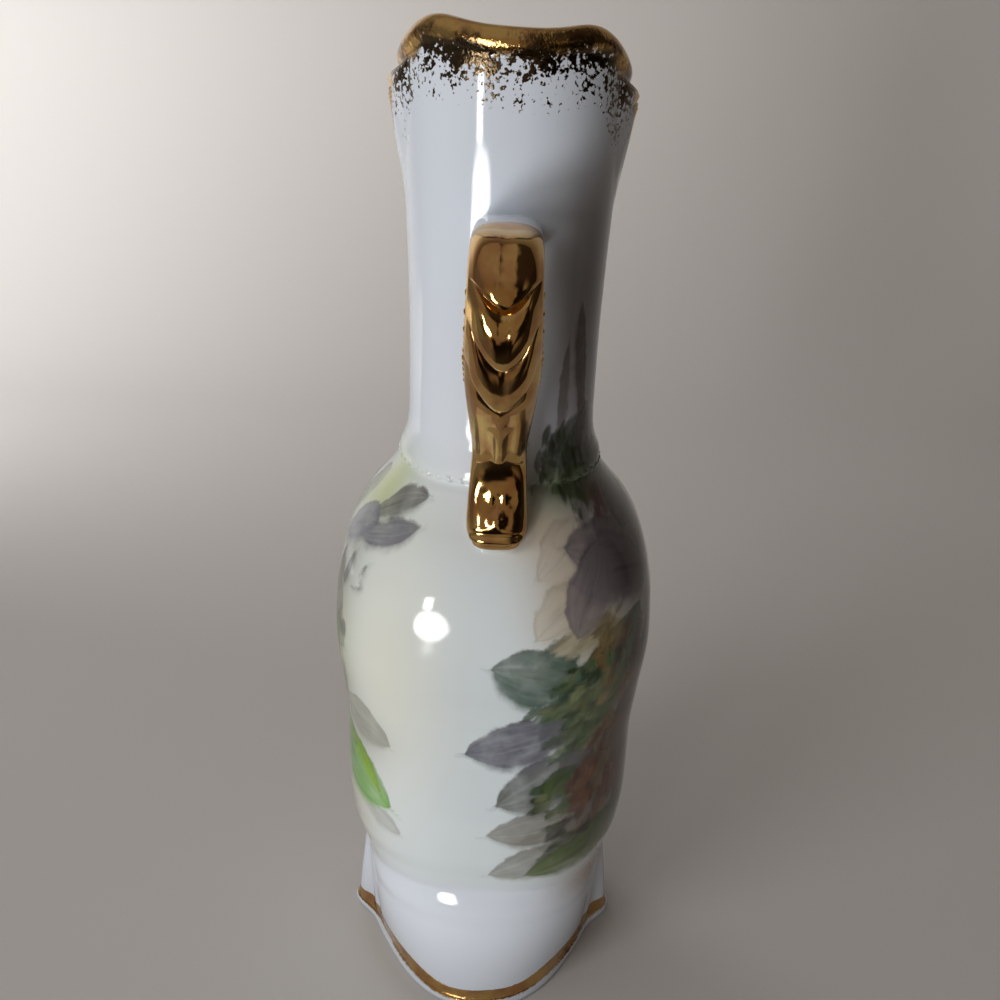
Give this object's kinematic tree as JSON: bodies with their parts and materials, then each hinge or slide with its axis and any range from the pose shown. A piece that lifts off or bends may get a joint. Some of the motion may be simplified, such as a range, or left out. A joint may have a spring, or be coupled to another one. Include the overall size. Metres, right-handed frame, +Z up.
{
  "type": "two-handled bud vase",
  "caption": "Slender hollow porcelain vase with a rounded square body, a tall neck under a rolled lip, a lobed foot and strap handles.",
  "frame": {"origin": "middle of the underside, in the plane of the foot's rim", "axes": "+Z up along the vase's axis, +X through one handle, +Y through one broad painted face"},
  "size_m": [0.123, 0.084, 0.2553],
  "materials": {
    "glazed_porcelain": "glossy clear glaze over white porcelain, hand painted, with bright gold on rim, handles and foot edge"
  },
  "bodies": {
    "root": {"vase": "glazed_porcelain"}
  },
  "joints": []
}
